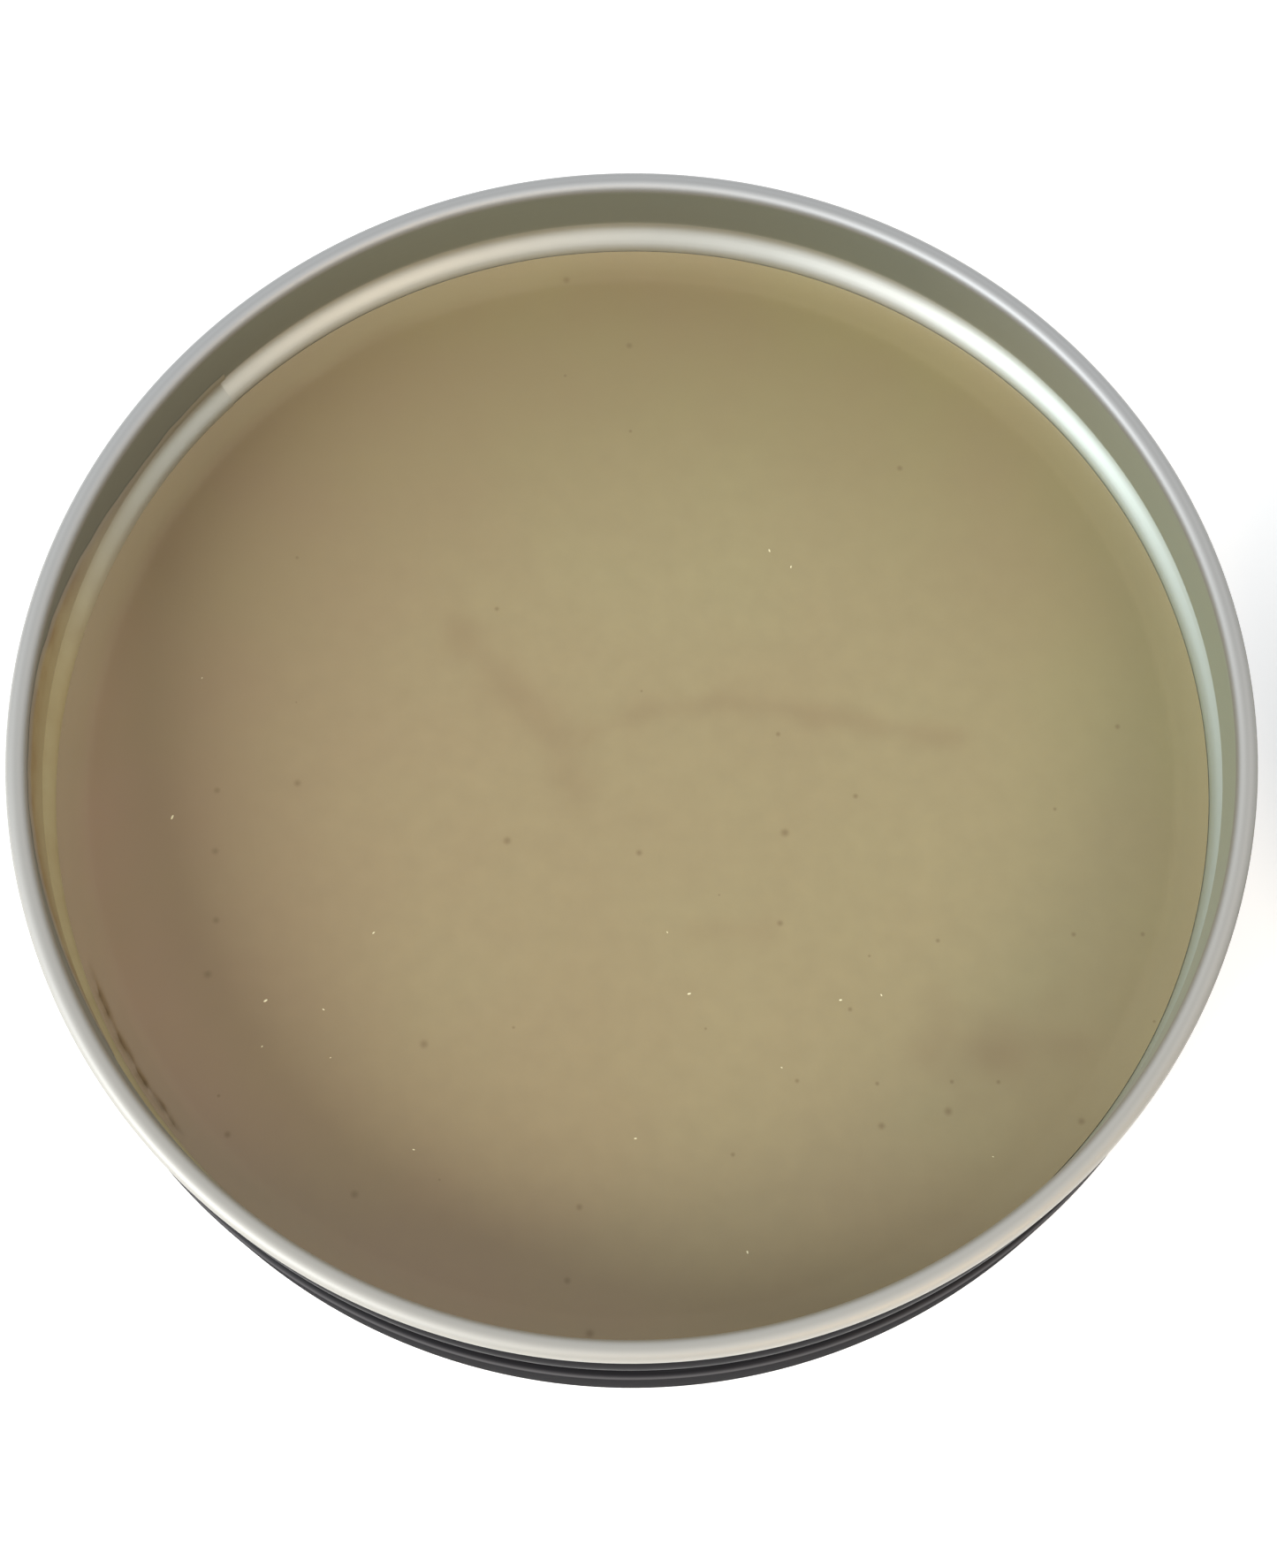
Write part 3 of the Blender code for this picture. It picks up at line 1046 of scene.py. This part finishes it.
def smearColumn(shell, layers, angleDeg, onMetal):
    # one upright line of points: on the metal, or on the skin's own face
    thickLayer, coverLayer = layers
    angle = math.radians(angleDeg)
    ceiling = max(smearTop(angleDeg), smear["low"] + smear["least"])
    bare = smear["endDeg"]
    along = smooth(angleDeg, smear["fromDeg"] + bare, smear["fromDeg"] + smear["fadeIn"])
    along *= 1 - smooth(angleDeg, smear["toDeg"] - smear["fadeOut"], smear["toDeg"] - bare)
    below, added = smear["darkness"]
    full = smear["gap"] + smear["thickness"]
    column = []
    for r in range(smear["rows"] + 1):
        up = r / smear["rows"]
        height = smear["low"] + (ceiling - smear["low"]) * r / smear["rows"]
        # the drained edge thins to nothing
        inset = smear["gap"]
        if not onMetal:
            taper = 1 - smooth(up, smear["taperFrom"], 1.0)
            inset = smear["thinnest"] + (full - smear["thinnest"]) * taper
        radius = neckInsideAt(height) - inset
        vert = shell.verts.new((radius * math.cos(angle), radius * math.sin(angle), height))
        vert[thickLayer] = below + added * smooth(up, smear["darkFrom"], smear["darkTo"])
        vert[coverLayer] = along * (1 - smear["paleness"] * smooth(up, smear["paleFrom"], 1.0))
        column.append(vert)
    return column


def makeSmear():
    shell = bmesh.new()
    layers = (shell.verts.layers.float.new("thick"), shell.verts.layers.float.new("cover"))
    columns, rows = smear["columns"], smear["rows"]
    start, end = smear["fromDeg"], smear["toDeg"]
    headings = [start + (end - start) * c / columns for c in range(columns + 1)]
    outer = [smearColumn(shell, layers, angleDeg, True) for angleDeg in headings]
    inner = [smearColumn(shell, layers, angleDeg, False) for angleDeg in headings]
    for c in range(columns):
        for r in range(rows):
            shell.faces.new((outer[c][r], outer[c][r + 1], outer[c + 1][r + 1], outer[c + 1][r]))
            shell.faces.new((inner[c][r], inner[c + 1][r], inner[c + 1][r + 1], inner[c][r + 1]))
        for r in (0, rows):
            shell.faces.new((outer[c][r], outer[c + 1][r], inner[c + 1][r], inner[c][r]))
    for c in (0, columns):
        for r in range(rows):
            shell.faces.new((outer[c][r], inner[c][r], inner[c][r + 1], outer[c][r + 1]))
    obj = finished("wax_skin_on_neck", shell, waxSkin("thin_wax_over_tinplate"))
    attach(obj, "base")
    print("wax skin made")


# dust on the wax

dust = {
    "perSquareMetre": 5600.0,
    "grainSize": 0.36 * mm,
    "leastSize": 0.35,  # share of the grain size
    "grainShape": (1.0, 0.45, 0.25),
    "lean": 0.3,
    "keepWithin": 36 * mm,
    "keepAbove": wax["top"] - 0.6 * mm,
    "spreadFrom": (20 * mm, 0.25),
    "spreadTo": (-25 * mm, 1.6),
    "seed": 9,
    "dark": "#d9cda0",
    "light": "#efe6c4",
    "cloud": 0.4 * mm,
    "roughness": 0.5,
}


def paleDust(name):
    # house dust and wax crumbs: dull, each grain a little different
    material, tree, shader = newMaterial(name, 0.0, dust["roughness"])
    place = addNode(tree, "ShaderNodeTexCoord").outputs["Object"]
    spread = addNode(tree, "ShaderNodeTexNoise", {"Vector": place, "Scale": 1 / dust["cloud"], "Detail": 2.0})
    colour = addNode(
        tree, "ShaderNodeMix",
        {0: spread.outputs["Fac"], 6: hexToLinear(dust["dark"]), 7: hexToLinear(dust["light"])},
        data_type="RGBA",
    )
    tree.links.new(colour.outputs[2], shader.inputs["Base Color"])
    return material


def scatterTree():
    tree = newTree("scatterGrains", {
        "Per Square Metre": ("NodeSocketFloat", 5000.0),
        "Grain Size": ("NodeSocketFloat", 0.3 * mm),
        "Least Size": ("NodeSocketFloat", 0.5),
        "Keep Within": ("NodeSocketFloat", 36 * mm),
        "Keep Above": ("NodeSocketFloat", 0.0),
        "Seed": ("NodeSocketInt", 1),
        "Material": ("NodeSocketMaterial", None),
    })
    given = addNode(tree, "NodeGroupInput").outputs
    place = addNode(tree, "GeometryNodeInputPosition")
    split = addNode(tree, "ShaderNodeSeparateXYZ", {0: place.outputs[0]})
    flat = addNode(tree, "ShaderNodeVectorMath", {0: place.outputs[0], 1: (1, 1, 0)}, operation="MULTIPLY")
    radius = addNode(tree, "ShaderNodeVectorMath", {0: flat.outputs[0]}, operation="LENGTH")
    inside = addNode(
        tree, "FunctionNodeCompare",
        {0: radius.outputs["Value"], 1: given["Keep Within"]},
        data_type="FLOAT", operation="LESS_THAN",
    )
    onTop = addNode(
        tree, "FunctionNodeCompare",
        {0: split.outputs["Z"], 1: given["Keep Above"]},
        data_type="FLOAT", operation="GREATER_THAN",
    )
    both = addNode(
        tree, "FunctionNodeBooleanMath",
        {0: inside.outputs["Result"], 1: onTop.outputs["Result"]},
        operation="AND",
    )
    # more of it settled on the near side
    nearer = addNode(
        tree, "ShaderNodeMapRange",
        {"Value": split.outputs["Y"], "From Min": dust["spreadFrom"][0], "From Max": dust["spreadTo"][0],
         "To Min": dust["spreadFrom"][1], "To Max": dust["spreadTo"][1]},
    )
    density = addNode(
        tree, "ShaderNodeMath",
        {0: given["Per Square Metre"], 1: nearer.outputs[0]},
        operation="MULTIPLY",
    )
    points = addNode(
        tree, "GeometryNodeDistributePointsOnFaces",
        {"Mesh": given["Geometry"], "Selection": both.outputs[0], "Density": density.outputs[0],
         "Seed": given["Seed"]},
    )
    grain = addNode(tree, "GeometryNodeMeshIcoSphere", {"Radius": 0.5, "Subdivisions": 2})
    spread = addNode(
        tree, "FunctionNodeRandomValue",
        {2: given["Least Size"], 3: 1.0, "Seed": given["Seed"]},
        data_type="FLOAT",
    )
    size = addNode(
        tree, "ShaderNodeMath",
        {0: spread.outputs[1], 1: given["Grain Size"]},
        operation="MULTIPLY",
    )
    shape = addNode(
        tree, "ShaderNodeVectorMath",
        {0: dust["grainShape"], 3: size.outputs[0]},
        operation="SCALE",
    )
    heading = addNode(
        tree, "FunctionNodeRandomValue",
        {0: (0, 0, 0), 1: (dust["lean"], dust["lean"], 6.28), "Seed": given["Seed"]},
        data_type="FLOAT_VECTOR",
    )
    placed = addNode(
        tree, "GeometryNodeInstanceOnPoints",
        {"Points": points.outputs["Points"], "Instance": grain.outputs["Mesh"],
         "Rotation": heading.outputs[0], "Scale": shape.outputs[0]},
    )
    real = addNode(tree, "GeometryNodeRealizeInstances", {"Geometry": placed.outputs["Instances"]})
    done = addNode(
        tree, "GeometryNodeSetMaterial",
        {"Geometry": real.outputs["Geometry"], "Material": given["Material"]},
    )
    addNode(tree, "NodeGroupOutput", {"Geometry": done.outputs["Geometry"]})
    return tree


def makeDust(cake):
    obj = linked("pale_specks", cake.data.copy())
    obj.data.materials.clear()
    useTree(obj, scatterTree(), {
        "Per Square Metre": dust["perSquareMetre"],
        "Grain Size": dust["grainSize"],
        "Least Size": dust["leastSize"],
        "Keep Within": dust["keepWithin"],
        "Keep Above": dust["keepAbove"],
        "Seed": dust["seed"],
        "Material": paleDust("pale_dust"),
    })
    outward(obj.data)
    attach(obj, "base")
    print("specks scattered")


# the lid

lid = {
    "sheet": 0.3 * mm,
    "inside": 41.45 * mm,
    "edgeHeight": 8.1 * mm,
    "ringHeight": 18.1 * mm,
    "cornerRadius": 1.1 * mm,
    "panelRadius": 35.0 * mm,
    "panelRise": 0.5 * mm,
    "stepWidth": 1.6 * mm,
    "beadRise": 0.25 * mm,
    "beadWidth": 2.0 * mm,
    "beadCentre": 2.2 * mm,
    "dullBelow": -1.0,  # nowhere: the lid keeps its gloss
    "lacquerShine": 0.35,
    "facets": 288,
}

lidSteps = {"panel": 10, "corner": 12, "bead": 14}


def lidPath():
    half = lid["sheet"] / 2
    wall = lid["inside"] + half
    top = lid["ringHeight"] + half
    path = [(0, top + lid["panelRise"]), (lid["panelRadius"] / 2, top + lid["panelRise"])]
    for i in range(lidSteps["panel"] + 1):
        drop = lid["panelRise"] * 0.5 * (1 - math.cos(math.pi * i / lidSteps["panel"]))
        radius = lid["panelRadius"] + lid["stepWidth"] * i / lidSteps["panel"]
        path.append((radius, top + lid["panelRise"] - drop))
    corner = lid["cornerRadius"]
    path += arc((wall - corner, top - corner), corner, 90, 0, lidSteps["corner"])
    bead = swell(lid["edgeHeight"] + lid["beadCentre"], lid["beadWidth"], lid["beadRise"], lidSteps["bead"])
    for height, rise in reversed(bead):
        path.append((wall + rise, height))
    path.append((wall, lid["edgeHeight"]))
    return path


def makeLid():
    # the path runs outwards over the top, so its left face is the lid's outside
    obj = turnSheet(
        "tin_lid", lidPath(), lid["sheet"], lid["facets"],
        blackLacquer("black_stoved_lacquer_lid", lidCentreX, lid["dullBelow"], lid["lacquerShine"]),
        drawnTinplate("bright_drawn_tinplate_lid", lidCentreX),
    )
    turnOver = Matrix.Translation((lidCentreX, 0, closedHeight)) @ Matrix.Rotation(math.pi, 4, "Y")
    obj.data.transform(turnOver)
    outward(obj.data)
    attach(obj, "lid")
    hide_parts("lid_shell")
    print("lid made")


# studio

studio = {
    "floorHalf": 6.0,
    "floor": "#fbfaf8",
    "floorRoughness": 0.8,
    "floorGlow": 0.4,
    "room": "#e9ecef",
    "roomStrength": 0.98,
    # name: direction and elevation in degrees, distance, size, power, colour
    "lights": {
        "window": (214, 33, 0.7, 0.40, 4.0, "#f6fbff"),
        "lamp": (305, 34, 0.6, 0.22, 1.0, "#ffe6c4"),
        "front_panel": (262, 50, 0.8, 0.8, 0.4, "#fdfeff"),
        "ceiling": (40, 80, 0.9, 1.0, 0.3, "#fffdf8"),
    },
}

# close above the tin, a hand's length back, tipped off the vertical
view = {
    "tiltDeg": 17.51,
    "rollDeg": 0.47,
    "target": (0.45, -4.1, 17.2),  # in mm
    "distance": 164.0 * mm,
    "sensor": 36.0,
    "lens": 57.8,
    "nearest": 0.005,
    "farthest": 20.0,
}


def makeFloor():
    mesh = bpy.data.meshes.new("floor")
    half = studio["floorHalf"]
    corners = [(-half, -half, 0), (half, -half, 0), (half, half, 0), (-half, half, 0)]
    mesh.from_pydata(corners, [], [(0, 1, 2, 3)])
    material, _, shader = newMaterial("pale_floor", 0.0, studio["floorRoughness"])
    shader.inputs["Base Color"].default_value = hexToLinear(studio["floor"])
    # a light table: the floor glows a little, so shadows on it stay faint
    shader.inputs["Emission Color"].default_value = hexToLinear("#ffffff")
    shader.inputs["Emission Strength"].default_value = studio["floorGlow"]
    mesh.materials.append(material)
    linked("floor", mesh)


def softLight(name, polarDeg, elevationDeg, distance, size, power, colour):
    light = bpy.data.lights.new(name, "AREA")
    light.shape = "DISK"
    light.size = size
    light.energy = power
    light.color = hexToLinear(colour)[:3]
    polar = math.radians(polarDeg)
    elevation = math.radians(elevationDeg)
    level = math.cos(elevation)
    away = Vector((math.cos(polar) * level, math.sin(polar) * level, math.sin(elevation)))
    obj = bpy.data.objects.new(name, light)
    obj.location = away * distance
    obj.rotation_euler = away.to_track_quat("Z", "Y").to_euler()
    bpy.context.scene.collection.objects.link(obj)


def makeLights():
    for name, values in studio["lights"].items():
        softLight(name, *values)
    world = bpy.data.worlds.new("room")
    world.use_nodes = True
    room = world.node_tree.nodes["Background"]
    room.inputs["Color"].default_value = hexToLinear(studio["room"])
    room.inputs["Strength"].default_value = studio["roomStrength"]
    bpy.context.scene.world = world


def makeCamera():
    tilt = math.radians(view["tiltDeg"])
    roll = math.radians(view["rollDeg"])
    target = Vector(view["target"]) * mm
    ahead = Vector((0, math.sin(tilt), -math.cos(tilt)))
    right = Vector((1, 0, 0))
    up = Vector((0, math.cos(tilt), math.sin(tilt)))
    turnedRight = right * math.cos(roll) - up * math.sin(roll)
    turnedUp = right * math.sin(roll) + up * math.cos(roll)
    camera = bpy.data.cameras.new("camera")
    camera.sensor_width = view["sensor"]
    camera.lens = view["lens"]
    camera.clip_start = view["nearest"]
    camera.clip_end = view["farthest"]
    obj = bpy.data.objects.new("camera", camera)
    axes = Matrix((turnedRight, turnedUp, -ahead)).transposed().to_4x4()
    obj.matrix_world = Matrix.Translation(target - ahead * view["distance"]) @ axes
    bpy.context.scene.collection.objects.link(obj)
    bpy.context.scene.camera = obj


makeCamera()
makeFloor()
makeLights()
makeBase()
cake = makeWax()
makeSmear()
makeDust(cake)
makeLid()
bpy.context.scene.view_settings.view_transform = "Standard"  # whites stay white, with no film curve
